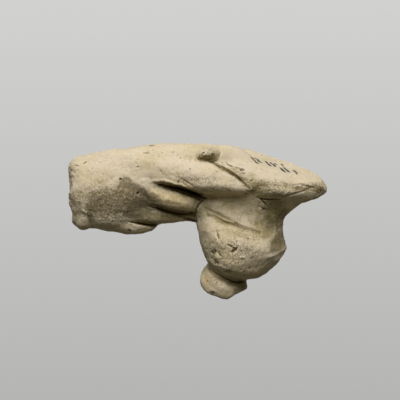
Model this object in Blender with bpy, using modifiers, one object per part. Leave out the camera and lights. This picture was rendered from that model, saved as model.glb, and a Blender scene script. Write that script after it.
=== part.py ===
"""A fired clay fragment: the hand of a figure, broken off at the wrist, that grips a small jug by its handle.

Hand and jug were modelled as one lump of clay, so they are one solid. The fragment lies on its far side, as
it would on a table. +X runs from the broken wrist to the jug's spout, +Y up the jug to its mouth, and +Z out
of the back of the hand. The front is the side that faces +Z.
"""

import math

import bmesh
import bpy
import numpy as np
from mathutils import Matrix, Vector, noise

MM = 0.001

# Sizes in millimetres. The hand is measured from the wrist to where its fingers close on the handle.
HAND_LENGTH = 36.0
HAND_WIDTH = 24.0
HAND_THICKNESS = 20.0
INDEX_FINGER_WIDTH = 8.8
SMALL_FINGER_WIDTH = 6.0
THUMB_WIDTH = 10.0
JUG_HEIGHT = 38.0
BODY_WIDTH = 25.6
BODY_DEPTH = 21.0
NECK_WIDTH = 25.5
NECK_DEPTH = 13.0
MOUTH_LENGTH = 33.4
MOUTH_DEPTH = 16.2
FOOT_WIDTH = 13.0
FOOT_DEPTH = 12.4
STUB_WIDTH = 3.8
WRIST_LUMP_WIDTH = 5.2
FINGER_GAP = 1.8
LINE_WIDTH = 1.5
LINE_DEPTH = 0.7
BREAK_ROUGHNESS = 0.6
BREAK_GRAIN = 4.0
REST_SLICE = 0.6

# How finely the clay is worked, how often each stage is wiped smooth, and how many triangles the solid keeps.
CLAY_GRAIN = 0.42
FIRST_WIPES = 4
BACK_OF_HAND_WIPES = 90
LAST_WIPES = 2
TRIANGLES = 8800

# Hand and jug are laid out from the grip, where the fingers close on the handle.
# Where the knuckles are along the hand, how far past them its smooth back fades out, and where the broken end
# begins, in shares of the hand's length.
KNUCKLES = -0.32
KNUCKLE_FADE = 0.22
BREAK_START = -0.90

# The back and palm of the hand, from the wrist to behind the jug's mouth, in shares of the hand's sizes:
# (along, slant, top edge, bottom edge, front, back, squareness).
HAND_SECTIONS = (
    (-0.99, -0.06, 0.225, -0.42, 0.75, 0.18, 2.6),
    (-0.96, -0.06, 0.325, -0.46, 0.85, 0.08, 2.6),
    (-0.85, 0.06, 0.38, -0.485, 0.92, 0.01, 2.3),
    (-0.70, 0.20, 0.42, -0.515, 0.95, 0.01, 2.2),
    (-0.56, 0.40, 0.465, -0.535, 0.96, 0.05, 2.2),
    (-0.43, 0.50, 0.50, -0.505, 0.93, 0.10, 2.1),
    (-0.31, 0.40, 0.505, -0.36, 0.85, 0.15, 2.1),
    (-0.17, 0.20, 0.495, -0.21, 0.79, 0.20, 2.1),
    (0.03, 0.0, 0.495, -0.11, 0.76, 0.25, 2.1),
    (0.19, 0.0, 0.48, -0.01, 0.69, 0.30, 2.0),
    (0.32, 0.0, 0.455, 0.06, 0.60, 0.33, 2.0),
    (0.47, 0.0, 0.30, 0.10, 0.55, 0.35, 2.0),
)

# Rolls of clay, each with its width: the fingers from inside the hand to their tips, the handle that they close
# on, the broken stub beside the index finger, and the lump at the lower corner of the wrist. Points are
# (along, up, forward, thickness), three in shares of the hand's sizes and the last one of the roll's width.
ROLLS = (
    (
        "index",
        INDEX_FINGER_WIDTH,
        (
            (-0.67, 0.23, 0.55, 1.15),
            (-0.44, 0.22, 0.69, 1.08),
            (-0.29, 0.18, 0.775, 1.02),
            (-0.14, 0.14, 0.83, 1.00),
            (0.02, 0.096, 0.86, 1.02),
            (0.12, 0.075, 0.88, 1.00),
            (0.195, 0.042, 0.91, 0.84),
            (0.255, 0.020, 0.94, 0.70),
            (0.33, -0.012, 0.98, 0.47),
            (0.405, -0.036, 1.02, 0.22),
        ),
    ),
    (
        "middle",
        SMALL_FINGER_WIDTH,
        (
            (-0.67, 0.00, 0.58, 1.50),
            (-0.47, -0.06, 0.72, 1.22),
            (-0.29, -0.13, 0.75, 1.06),
            (-0.21, -0.165, 0.745, 1.00),
            (-0.14, -0.195, 0.72, 0.94),
            (-0.065, -0.21, 0.67, 0.84),
            (-0.02, -0.21, 0.55, 0.78),
            (-0.035, -0.185, 0.40, 0.80),
            (-0.11, -0.14, 0.24, 0.82),
            (-0.22, -0.09, 0.19, 0.72),
        ),
    ),
    (
        "ring",
        SMALL_FINGER_WIDTH,
        (
            (-0.67, -0.24, 0.56, 1.30),
            (-0.50, -0.29, 0.64, 1.08),
            (-0.37, -0.345, 0.65, 0.94),
            (-0.25, -0.345, 0.63, 0.84),
            (-0.135, -0.335, 0.58, 0.74),
            (-0.06, -0.335, 0.51, 0.64),
            (-0.04, -0.335, 0.38, 0.66),
            (-0.11, -0.29, 0.22, 0.72),
            (-0.22, -0.25, 0.18, 0.66),
        ),
    ),
    (
        "little",
        SMALL_FINGER_WIDTH,
        (
            (-0.72, -0.37, 0.55, 0.94),
            (-0.60, -0.445, 0.57, 0.94),
            (-0.485, -0.48, 0.58, 0.84),
            (-0.395, -0.475, 0.55, 0.68),
            (-0.345, -0.445, 0.47, 0.58),
            (-0.355, -0.41, 0.35, 0.62),
            (-0.42, -0.385, 0.24, 0.64),
            (-0.50, -0.35, 0.19, 0.60),
        ),
    ),
    (
        "web",
        THUMB_WIDTH,
        (
            (-0.67, 0.19, 0.60, 1.05),
            (-0.42, 0.25, 0.66, 1.00),
            (-0.22, 0.29, 0.67, 0.94),
            (0.00, 0.30, 0.64, 0.88),
            (0.14, 0.29, 0.57, 0.76),
        ),
    ),
    (
        "handle in the fist",
        THUMB_WIDTH,
        (
            (-0.64, -0.26, 0.42, 0.90),
            (-0.46, -0.24, 0.40, 0.90),
            (-0.28, -0.20, 0.42, 0.84),
            (-0.12, -0.15, 0.46, 0.76),
            (0.04, -0.10, 0.50, 0.80),
        ),
    ),
    (
        "thumb",
        THUMB_WIDTH,
        (
            (-0.72, 0.14, 0.24, 1.04),
            (-0.44, 0.25, 0.23, 0.96),
            (-0.19, 0.31, 0.22, 0.84),
            (0.00, 0.33, 0.25, 0.76),
            (0.15, 0.34, 0.34, 0.68),
        ),
    ),
    (
        "stub",
        STUB_WIDTH,
        ((0.155, 0.36, 0.62, 0.90), (0.09, 0.365, 0.76, 1.00), (0.05, 0.355, 0.83, 0.84)),
    ),
    (
        "wrist lump",
        WRIST_LUMP_WIDTH,
        ((-0.875, -0.355, 0.60, 1.00), (-0.895, -0.43, 0.62, 0.85)),
    ),
)

# How far forward the middle of the jug is at the grip, and how much further forward it is one jug's height
# above that, both in shares of the body's depth.
AXIS_AT_GRIP = 0.563
AXIS_LEAN = 0.15

# The jug from the foot up to its filled mouth: (height, left edge, width, depth, tilt, lean, egg). Height is a
# share of the jug's height above the grip, and the left edge a share of the body's width. Tilt is how many
# degrees the section drops towards the spout, lean how steeply it drops towards the front, and egg how much it
# narrows towards the spout.
JUG_SECTIONS = (
    (-0.628, 0.13, 0.40 * BODY_WIDTH, 0.52 * BODY_DEPTH, 22, 0.25, 0.0),
    (-0.588, 0.08, 0.62 * BODY_WIDTH, 0.88 * BODY_DEPTH, 19, 0.18, 0.0),
    (-0.508, 0.035, 0.82 * BODY_WIDTH, 0.995 * BODY_DEPTH, 15, 0.12, 0.0),
    (-0.418, 0.01, 0.955 * BODY_WIDTH, 1.01 * BODY_DEPTH, 12, 0.10, 0.05),
    (-0.348, -0.01, 0.985 * BODY_WIDTH, 0.90 * BODY_DEPTH, 11, 0.11, 0.1),
    (-0.278, -0.02, 0.965 * NECK_WIDTH, 1.20 * NECK_DEPTH, 11, 0.17, 0.15),
    (-0.203, -0.035, 1.00 * NECK_WIDTH, 0.97 * NECK_DEPTH, 10, 0.25, 0.25),
    (-0.128, -0.02, 1.055 * NECK_WIDTH, 0.93 * NECK_DEPTH, 9, 0.29, 0.25),
    (-0.054, 0.015, 0.885 * MOUTH_LENGTH, 0.74 * MOUTH_DEPTH, 9, 0.35, 0.2),
    (0.012, 0.09, 0.97 * MOUTH_LENGTH, 0.86 * MOUTH_DEPTH, 11, 0.42, 0.25),
    (0.062, 0.12, 1.00 * MOUTH_LENGTH, 0.955 * MOUTH_DEPTH, 11.5, 0.42, 0.3),
    (0.138, 0.15, 0.92 * MOUTH_LENGTH, 1.01 * MOUTH_DEPTH, 11.5, 0.46, 0.3),
)

# The foot, a stubby round block under the body, in the same form.
FOOT_SECTIONS = (
    (-0.775, 0.05, 1.00 * FOOT_WIDTH, 0.96 * FOOT_DEPTH, 11, 0.40, 0.0),
    (-0.738, 0.03, 1.03 * FOOT_WIDTH, 1.00 * FOOT_DEPTH, 11, 0.40, 0.0),
    (-0.688, 0.035, 1.00 * FOOT_WIDTH, 1.00 * FOOT_DEPTH, 12, 0.45, 0.0),
    (-0.608, 0.12, 0.72 * FOOT_WIDTH, 0.76 * FOOT_DEPTH, 12, 0.45, 0.0),
)

# Deep gaps that the tool cut: between the fingers and along the top of the index finger. Points are
# (along, up, forward, thickness) as for the rolls, with the thickness a share of the gap between fingers.
GAPS = {
    "under index": (
        (-0.42, 0.08, 0.98, 0.3),
        (-0.29, 0.025, 0.88, 0.7),
        (-0.16, -0.03, 0.80, 1.0),
        (-0.06, -0.08, 0.75, 1.2),
        (0.02, -0.115, 0.74, 1.0),
    ),
    "under middle": (
        (-0.43, -0.21, 0.92, 0.3),
        (-0.33, -0.245, 0.80, 0.7),
        (-0.22, -0.285, 0.71, 0.9),
        (-0.13, -0.32, 0.65, 1.0),
        (-0.04, -0.33, 0.62, 1.0),
    ),
    "under ring": (
        (-0.53, -0.41, 0.76, 0.2),
        (-0.44, -0.425, 0.68, 0.6),
        (-0.37, -0.445, 0.63, 0.7),
        (-0.30, -0.455, 0.58, 0.7),
    ),
    "over index": (
        (0.10, 0.285, 0.80, 0.3),
        (0.19, 0.22, 0.88, 0.6),
        (0.27, 0.14, 0.94, 0.6),
        (0.345, 0.06, 1.00, 0.5),
        (0.41, -0.01, 1.06, 0.3),
    ),
}

# Lines and swellings seen from the front: points of (along, up) in shares of the jug's width and height, then
# the width and the height in shares of a line's width and depth. A height below 0 presses in.
STROKES = {
    "line on the neck": (((0.106, -0.164), (0.248, -0.216), (0.379, -0.26), (0.423, -0.282)), 0.8, -0.7),
    "line on the shoulder": (
        ((0.116, -0.216), (0.193, -0.231), (0.27, -0.268), (0.412, -0.29), (0.521, -0.319), (0.674, -0.341)),
        0.8,
        -0.9,
    ),
    "swell of the belly": (((0.30, -0.42), (0.50, -0.44), (0.66, -0.45)), 4.0, 0.6),
    "ridge below the flank": (((0.78, -0.519), (0.86, -0.5), (0.98, -0.459)), 0.7, 0.6),
    "groove above the foot": (((0.126, -0.603), (0.246, -0.66), (0.377, -0.71), (0.476, -0.71)), 0.9, -1.4),
}

# Flats pared or broken off the jug: a point in shares of the jug's width, height and depth, the direction that
# the flat faces, and its reach in widths of the body. They fade out over the last share of that reach.
FLATS = {
    "flank": ((0.871, -0.386, 0.671), (0.89, 0.05, 0.45), 0.34),
    "bottom of the foot": ((0.35, -0.823, 0.5), (0.45, -0.89, 0.0), 1.0),
    "chip in the foot": ((0.42, -0.762, 0.69), (0.78, -0.12, 0.60), 0.20),
}
PARE_FADE = 0.4

CLAY_COLOUR = (0.60, 0.51, 0.34, 1.0)
CLAY_ROUGHNESS = 0.85


def clear_scene():
    for found in list(bpy.data.objects):
        bpy.data.objects.remove(found)


def collection(name):
    made = bpy.data.collections.new(name)
    bpy.context.scene.collection.children.link(made)
    return made


def hand_place(along, up, forward):
    """A point given in shares of the hand's sizes."""
    return Vector((along * HAND_LENGTH, up * HAND_WIDTH, forward * HAND_THICKNESS))


def jug_place(along, up, forward):
    """A point given in shares of the jug's sizes."""
    return Vector((along * BODY_WIDTH, up * JUG_HEIGHT, forward * BODY_DEPTH))


def rounded(angle, squareness=2.1):
    """Cosine and sine of a circle that is squared off a little."""
    c, s = math.cos(angle), math.sin(angle)
    power = 2 / squareness
    return math.copysign(abs(c) ** power, c), math.copysign(abs(s) ** power, s)


def hand_ring(section, angles):
    """The outline of one section of the hand."""
    along, slant, top, bottom, front, back, squareness = section
    centre = hand_place(along, (top + bottom) / 2, (front + back) / 2)
    half_width = (top - bottom) / 2 * HAND_WIDTH
    half_thickness = (front - back) / 2 * HAND_THICKNESS
    ring = []
    for angle in angles:
        c, s = rounded(angle, squareness)
        ring.append(centre + Vector((slant * c * half_width, c * half_width, s * half_thickness)))
    return ring


def jug_ring(section, angles):
    """The outline of one section of the jug, tipped towards its spout and its front."""
    height, left, width, depth, tilt, lean, egg = section
    across = Vector((width / 2, -math.tan(math.radians(tilt)) * width / 2, 0.0))
    forward = Vector((0.0, -lean, 1.0)) * depth / 2
    centre = jug_place(left, height, AXIS_AT_GRIP + AXIS_LEAN * height) + Vector((width / 2, 0.0, 0.0))
    ring = []
    for angle in angles:
        c, s = rounded(angle)
        ring.append(centre + across * c + forward * s * (1 - egg * c))
    return ring


def between(rings, index, share):
    """A ring between two of the rings, on a smooth curve through all of them."""
    last = len(rings) - 1
    before, start, end, after = (np.array(rings[min(max(index + k, 0), last)]) for k in (-1, 0, 1, 2))
    bend = 2 * before - 5 * start + 4 * end - after
    twist = 3 * start - before - 3 * end + after
    return 0.5 * (2 * start + (end - before) * share + bend * share**2 + twist * share**3)


def object_from(shape, name, target):
    mesh = bpy.data.meshes.new(name)
    shape.to_mesh(mesh)
    shape.free()
    made = bpy.data.objects.new(name, mesh)
    target.objects.link(made)
    return made


def loft(name, ring_of, sections, target, sides=40, steps=5):
    """A closed skin over the sections, with flat ends."""
    angles = [2 * math.pi * side / sides for side in range(sides)]
    rings = [ring_of(section, angles) for section in sections]
    smooth = [between(rings, i, step / steps) for i in range(len(rings) - 1) for step in range(steps)]
    smooth.append(rings[-1])
    shape = bmesh.new()
    loops = [[shape.verts.new(Vector(point) * MM) for point in ring] for ring in smooth]
    for lower, upper in zip(loops, loops[1:]):
        for i in range(sides):
            j = (i + 1) % sides
            shape.faces.new((lower[i], lower[j], upper[j], upper[i]))
    shape.faces.new(loops[0])
    shape.faces.new(loops[-1])
    bmesh.ops.recalc_face_normals(shape, faces=shape.faces)
    return object_from(shape, name, target)


def evaluated_mesh(thing):
    bpy.context.view_layer.update()
    graph = bpy.context.evaluated_depsgraph_get()
    return bpy.data.meshes.new_from_object(thing.evaluated_get(graph))


def roll(name, path, target):
    """A roll of clay along a path of (point, radius), with round ends."""
    curve = bpy.data.curves.new(name, "CURVE")
    curve.dimensions = "3D"
    curve.bevel_depth = MM
    curve.bevel_resolution = 6
    curve.use_fill_caps = True
    curve.resolution_u = 8
    spline = curve.splines.new("BEZIER")
    spline.bezier_points.add(len(path) - 1)
    for knot, (point, radius) in zip(spline.bezier_points, path):
        knot.co = point * MM
        knot.handle_left_type = knot.handle_right_type = "AUTO"
        knot.radius = radius
    guide = bpy.data.objects.new(name + " guide", curve)
    target.objects.link(guide)
    shape = bmesh.new()
    shape.from_mesh(evaluated_mesh(guide))
    bpy.data.objects.remove(guide)
    bmesh.ops.remove_doubles(shape, verts=shape.verts, dist=0.01 * MM)
    for point, radius in (path[0], path[-1]):
        ball = bmesh.ops.create_uvsphere(shape, u_segments=20, v_segments=12, radius=radius * MM)
        bmesh.ops.translate(shape, verts=ball["verts"], vec=point * MM)
    return object_from(shape, name, target)


def hand_roll(name, points, width, target):
    path = [(hand_place(*point[:3]), point[3] * width / 2) for point in points]
    return roll(name, path, target)


def joined(name, pieces, target):
    """All the pieces as one mesh, whose skins still run through each other."""
    shape = bmesh.new()
    for piece in pieces:
        shape.from_mesh(piece.data)
        bpy.data.objects.remove(piece)
    return object_from(shape, name, target)


def applied(thing):
    """Gives the object the mesh that its modifiers make."""
    mesh = evaluated_mesh(thing)
    thing.modifiers.clear()
    thing.data = mesh
    return thing


def kneaded(thing, passes):
    """Works the overlapping pieces into one skin of even grain, and smooths it."""
    remesh = thing.modifiers.new("knead", "REMESH")
    remesh.mode = "VOXEL"
    remesh.voxel_size = CLAY_GRAIN * MM
    smooth = thing.modifiers.new("smooth", "SMOOTH")
    smooth.iterations = passes
    return applied(thing)


def soften_back_of_hand(thing, passes):
    """Wipes the back of the hand smooth, and fades out towards the fingertips and the jug."""
    group = thing.vertex_groups.new(name="back of hand")
    start = KNUCKLES * HAND_LENGTH
    fade = KNUCKLE_FADE * HAND_LENGTH
    for vertex in thing.data.vertices:
        weight = min(max((start + fade - vertex.co.x / MM) / fade, 0.0), 1.0)
        if weight > 0:
            group.add([vertex.index], weight, "REPLACE")
    smooth = thing.modifiers.new("wipe", "SMOOTH")
    smooth.vertex_group = group.name
    smooth.iterations = passes
    applied(thing)
    thing.vertex_groups.clear()


def read_mesh(mesh):
    """Every point in millimetres, and its normal."""
    points = np.zeros(len(mesh.vertices) * 3)
    normals = np.zeros(len(mesh.vertices) * 3)
    mesh.vertices.foreach_get("co", points)
    mesh.vertices.foreach_get("normal", normals)
    return points.reshape(-1, 3) / MM, normals.reshape(-1, 3)


def write_mesh(mesh, points):
    mesh.vertices.foreach_set("co", (points * MM).ravel())
    mesh.update()


def distance_to_path(points, path):
    """How far each point is from the path, both seen from the front."""
    flat = points[:, :2]
    nearest = np.full(len(flat), np.inf)
    for start, end in zip(path, path[1:]):
        along = end - start
        share = np.clip((flat - start) @ along / (along @ along), 0, 1)
        nearest = np.minimum(nearest, np.linalg.norm(flat - start - share[:, None] * along, axis=1))
    return nearest


def press(mesh, path):
    """Presses a rounded tool into the front, along a path of (point, radius)."""
    points, normals = read_mesh(mesh)
    floor = np.full(len(points), np.inf)
    for (start, start_radius), (end, end_radius) in zip(path, path[1:]):
        start, end = np.array(start), np.array(end)
        along = (end - start)[:2]
        share = np.clip((points[:, :2] - start[:2]) @ along / (along @ along), 0, 1)
        nearest = start + share[:, None] * (end - start)
        radius = start_radius + share * (end_radius - start_radius)
        aside = np.linalg.norm(points[:, :2] - nearest[:, :2], axis=1)
        depth = np.sqrt(np.clip(radius**2 - aside**2, 0, None))
        floor = np.where(aside < radius, np.minimum(floor, nearest[:, 2] - depth), floor)
    pressed = (normals[:, 2] > -0.1) & (points[:, 2] > floor)
    points[:, 2] = np.where(pressed, floor, points[:, 2])
    write_mesh(mesh, points)


def pare(mesh, point, normal, reach):
    """Takes off what stands above a plane near a point of it, and fades out towards the end of its reach."""
    points, _ = read_mesh(mesh)
    normal = np.array(Vector(normal).normalized())
    above = np.clip((points - np.array(point)) @ normal, 0, None)
    share = np.linalg.norm(points - np.array(point), axis=1) / reach
    near = np.clip((1 - share) / PARE_FADE, 0, 1)
    points -= (above * near)[:, None] * normal
    write_mesh(mesh, points)


def stroke(mesh, path, width, height):
    """Raises or presses in the front along a path, with soft sides."""
    points, normals = read_mesh(mesh)
    weight = np.exp(-((2 * distance_to_path(points, path) / width) ** 2))
    weight *= np.clip(normals[:, 2] * 2, 0, 1)
    write_mesh(mesh, points + normals * (weight * height)[:, None])


def roughen_break(mesh):
    """Breaks up the end of the wrist, where the hand came off its arm."""
    points, normals = read_mesh(mesh)
    end = BREAK_START * HAND_LENGTH
    for point, normal in zip(points, normals):
        share = min(max((end - point[0]) / BREAK_GRAIN * 2, 0.0), 1.0) * max(-normal[0], 0.0)
        if share > 0:
            lumps = noise.fractal(Vector(point) / BREAK_GRAIN, 0.8, 2.0, 2)
            point[0] += share * BREAK_ROUGHNESS * lumps
    write_mesh(mesh, points)


def laid_down(thing, target):
    """Takes a thin slice off the far side, and moves the fragment so that it rests on it at the origin."""
    points, _ = read_mesh(thing.data)
    low, high = points.min(axis=0), points.max(axis=0)
    middle = (low + high) / 2
    floor = low[2] + REST_SLICE
    length, width, _ = high - low
    shape = bmesh.new()
    bmesh.ops.create_cube(shape, size=2 * MM)
    bmesh.ops.scale(shape, vec=(length, width, width), verts=shape.verts)
    bmesh.ops.translate(shape, vec=Vector((middle[0], middle[1], floor - width)) * MM, verts=shape.verts)
    cutter = object_from(shape, "rest slice", target)
    cutter.hide_render = True
    cutter.display_type = "WIRE"
    boolean = thing.modifiers.new("rest", "BOOLEAN")
    boolean.operation = "DIFFERENCE"
    boolean.object = cutter
    applied(thing)
    thing.data.transform(Matrix.Translation(Vector((-middle[0], -middle[1], -floor)) * MM))


def clay():
    made = bpy.data.materials.new("fired clay")
    made.use_nodes = True
    shader = made.node_tree.nodes["Principled BSDF"]
    shader.inputs["Base Color"].default_value = CLAY_COLOUR
    shader.inputs["Roughness"].default_value = CLAY_ROUGHNESS
    shader.inputs["Metallic"].default_value = 0.0
    return made


def build():
    clear_scene()
    parts = collection("hand with jug")
    cutters = collection("cutters")

    pieces = [loft("palm", hand_ring, HAND_SECTIONS, parts)]
    pieces += [hand_roll(name, points, width, parts) for name, width, points in ROLLS]
    pieces.append(loft("jug", jug_ring, JUG_SECTIONS, parts))
    pieces.append(loft("foot", jug_ring, FOOT_SECTIONS, parts))
    whole = kneaded(joined("hand_with_jug", pieces, parts), FIRST_WIPES)
    soften_back_of_hand(whole, BACK_OF_HAND_WIPES)

    for points in GAPS.values():
        press(whole.data, [(hand_place(*point[:3]), point[3] * FINGER_GAP / 2) for point in points])
    for point, normal, reach in FLATS.values():
        pare(whole.data, jug_place(*point), normal, reach * BODY_WIDTH)
    kneaded(whole, LAST_WIPES)

    for points, width, height in STROKES.values():
        path = [np.array(jug_place(along, up, 0.0).xy) for along, up in points]
        stroke(whole.data, path, width * LINE_WIDTH, height * LINE_DEPTH)
    roughen_break(whole.data)

    fewer = whole.modifiers.new("fewer", "DECIMATE")
    fewer.ratio = TRIANGLES / (2 * len(whole.data.polygons))
    applied(whole)
    laid_down(whole, cutters)
    whole.data.shade_smooth()
    whole.data.set_sharp_from_angle(angle=math.radians(60))
    whole.data.materials.append(clay())


build()
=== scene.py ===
"""The looks of a fired clay hand that grips a small jug: its skin, its colours and its light.

The fragment lies on its far side, and the camera looks straight down on it. Places on the side that
the camera sees are given as pixels of the photograph, and sizes in millimetres unless a comment says
otherwise.
"""

import math

import bpy
import numpy as np
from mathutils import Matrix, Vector
from mathutils.bvhtree import BVHTree
from mathutils.kdtree import KDTree


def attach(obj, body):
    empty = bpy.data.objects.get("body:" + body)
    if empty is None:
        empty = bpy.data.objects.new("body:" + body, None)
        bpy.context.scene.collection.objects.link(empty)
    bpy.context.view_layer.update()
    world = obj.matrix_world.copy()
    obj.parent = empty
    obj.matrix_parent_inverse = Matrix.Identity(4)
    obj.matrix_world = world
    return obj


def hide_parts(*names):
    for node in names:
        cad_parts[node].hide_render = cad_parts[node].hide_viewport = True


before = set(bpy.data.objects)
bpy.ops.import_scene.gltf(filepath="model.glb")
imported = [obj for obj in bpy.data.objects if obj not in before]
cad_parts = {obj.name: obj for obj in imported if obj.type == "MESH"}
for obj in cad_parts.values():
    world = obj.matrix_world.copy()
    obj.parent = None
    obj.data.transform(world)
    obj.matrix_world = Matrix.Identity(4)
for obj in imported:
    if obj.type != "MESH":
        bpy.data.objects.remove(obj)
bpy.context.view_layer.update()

MM = 0.001

# The photograph's scale, the pixel at the fragment's origin, and the size of the picture.
PIXEL = 0.28
ORIGIN_X, ORIGIN_Y = 197.5, 220.75
PICTURE_SIZE = 400

# How finely the skin is worked, how often it is smoothed at first, and how many triangles it keeps.
SKIN_GRAIN = 0.21
SKIN_SMOOTHINGS = 6
SKIN_TRIANGLES = 190000

# Corners of the solid that are closer together than this are merged.
MERGE_GAP = 0.01

# Grooves, creases, cracks and nicks: (x, y, half width in pixels, depth) along each.
CUTS = {
    "under the index finger": (
        (156, 183.2, 1.1, 0.1),
        (160, 184.6, 1.3, 0.6),
        (166, 186.0, 1.4, 1.3),
        (175, 187.9, 1.6, 2.4),
        (186, 190.2, 2.0, 3.4),
        (195, 193.6, 2.3, 3.6),
        (202, 197.0, 1.8, 1.8),
        (207, 197.8, 1.2, 0.5),
    ),
    "under the middle finger": (
        (149, 205.8, 1.0, 0.3),
        (156, 207.6, 1.3, 0.8),
        (163, 209.8, 1.5, 1.4),
        (173, 212.8, 1.6, 1.7),
        (180, 214.2, 1.5, 1.4),
        (188, 213.8, 1.1, 0.7),
        (196, 212.0, 1.0, 0.4),
    ),
    "under the ring finger": (
        (127, 221.3, 1.0, 0.1),
        (134, 222.3, 1.5, 0.9),
        (143, 224.0, 1.8, 1.4),
        (151, 225.3, 1.5, 1.1),
        (158, 224.5, 1.0, 0.3),
    ),
    "along the index finger": (
        (211.5, 162.8, 1.4, 0.4),
        (217, 166.2, 2.9, 0.9),
        (223, 169.6, 3.1, 1.0),
        (230, 173.4, 2.9, 1.0),
        (236, 177.6, 2.4, 1.0),
        (241, 181.8, 2.2, 0.9),
        (246, 186.2, 1.8, 0.8),
        (249.5, 189.2, 1.3, 0.5),
    ),
    "fingertip against the jug": (
        (205, 198.5, 1.3, 0.6),
        (202, 201.0, 1.4, 0.8),
        (198.5, 205.0, 1.3, 0.7),
        (196.5, 209.0, 1.3, 0.6),
        (195.5, 213.5, 1.2, 0.5),
    ),
    "below the ring finger's tip": (
        (184, 218.0, 1.2, 0.8),
        (190, 219.0, 2.0, 1.8),
        (197, 221.0, 1.6, 1.2),
    ),
    "line on the neck": (
        (205.0, 207.5, 1.6, 0.15),
        (210.5, 210.3, 2.0, 0.35),
        (216.8, 213.4, 2.2, 0.40),
        (222.5, 216.4, 2.0, 0.30),
        (230.0, 220.0, 1.6, 0.15),
        (236.5, 223.2, 1.6, 0.25),
    ),
    "line on the shoulder": (
        (208.0, 215.0, 1.8, 0.20),
        (214.0, 216.3, 2.6, 0.35),
        (219.5, 218.8, 3.0, 0.45),
        (222.2, 221.1, 3.2, 0.50),
        (229.0, 224.2, 3.6, 0.65),
        (236.9, 226.4, 3.8, 0.75),
        (242.9, 228.6, 3.6, 0.65),
        (250.3, 229.8, 3.0, 0.45),
        (259.7, 232.2, 2.0, 0.20),
    ),
    "under the rim": (
        (257, 197.8, 1.0, 0.3),
        (261, 198.6, 1.6, 0.9),
        (270, 199.4, 1.5, 0.7),
        (278, 199.2, 1.2, 0.4),
        (288, 197.5, 1.0, 0.2),
    ),
    "crack below the rim": ((260.5, 199.5, 1.2, 0.7), (264, 203, 1.3, 0.7), (268, 207, 0.9, 0.3)),
    "around the foot": (
        (207, 268.0, 1.2, 0.3),
        (212, 270.5, 1.4, 0.5),
        (220, 274.8, 1.4, 0.5),
        (226, 278.2, 1.4, 0.5),
        (231, 280.8, 1.6, 0.8),
        (237, 282.3, 1.7, 1.2),
        (243.5, 281.6, 1.4, 0.8),
        (246, 280.5, 1.0, 0.3),
    ),
    "lower edge of the rim": (
        (270, 195.4, 0.9, 0.1),
        (277, 196.4, 1.1, 0.3),
        (285, 196.4, 1.1, 0.3),
        (293, 194.4, 1.1, 0.25),
        (301, 191.8, 1.1, 0.3),
        (308, 188.6, 1.1, 0.3),
        (313, 187.0, 0.9, 0.15),
    ),
    "above the rim's tip": (
        (290, 185.4, 0.9, 0.1),
        (300, 184.2, 1.0, 0.2),
        (306, 186.0, 1.0, 0.3),
        (312, 187.6, 0.9, 0.15),
    ),
    "around the stub": (
        (198.5, 153.5, 0.9, 0.1),
        (204, 149.8, 1.0, 0.22),
        (211, 147.9, 1.0, 0.22),
        (217.5, 148.6, 1.1, 0.25),
        (220.8, 152.0, 1.3, 0.35),
        (218.5, 156.5, 1.4, 0.35),
    ),
    "pit on the body": ((216.8, 231.0, 0.9, 0.2), (217.6, 235.0, 1.6, 0.6), (218.8, 238.0, 1.3, 0.5)),
    "crack beside the pit": ((217, 232.0, 0.8, 0.2), (219.5, 230.5, 0.8, 0.2)),
    "chip on the body, upper edge": (
        (227.5, 244.4, 1.1, 0.4),
        (231.0, 245.8, 1.4, 0.5),
        (233.5, 248.0, 1.4, 0.5),
    ),
    "chip on the body, lower edge": (
        (236.5, 247.4, 1.5, 0.5),
        (234.6, 249.8, 2.2, 0.6),
        (231.0, 251.6, 1.6, 0.4),
    ),
    "scratch over the plate": ((225.5, 162.5, 0.9, 0.2), (228.5, 165.2, 1.1, 0.35), (232.5, 166.2, 1.0, 0.3)),
    "crease over the plate": ((238.5, 164.4, 0.8, 0.15), (243, 165.0, 0.9, 0.2), (247, 165.2, 0.8, 0.15)),
    "nick behind the knuckle": ((144.3, 153.4, 0.9, 0.2), (147, 153.6, 1.0, 0.25), (149.5, 152.0, 0.8, 0.15)),
    "nick on the hand's edge": ((149.5, 146.5, 0.9, 0.2), (153.5, 145.4, 1.1, 0.3), (156, 145.0, 0.8, 0.2)),
    "nick beside it": ((146, 148.2, 0.8, 0.15), (149, 147.6, 0.9, 0.2)),
    "nick on the wrist": ((81, 164.2, 0.8, 0.15), (84, 163.6, 1.0, 0.25), (87, 162.2, 1.1, 0.35)),
    "nick at the wrist's corner": ((75, 165.6, 0.8, 0.15), (78.5, 166.2, 0.9, 0.2)),
    "crease on the back of the hand": (
        (136.0, 167.6, 0.8, 0.15),
        (138.5, 167.2, 1.0, 0.25),
        (140.5, 167.6, 0.8, 0.15),
    ),
    "long crease on the back of the hand": (
        (119, 159.2, 0.8, 0.06),
        (128, 159.6, 0.8, 0.1),
        (141, 159.8, 0.8, 0.06),
    ),
    "scratch under the index finger": (
        (184, 180.4, 0.8, 0.15),
        (187.5, 182.4, 1.0, 0.3),
        (192.8, 185.8, 0.8, 0.15),
    ),
}

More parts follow.
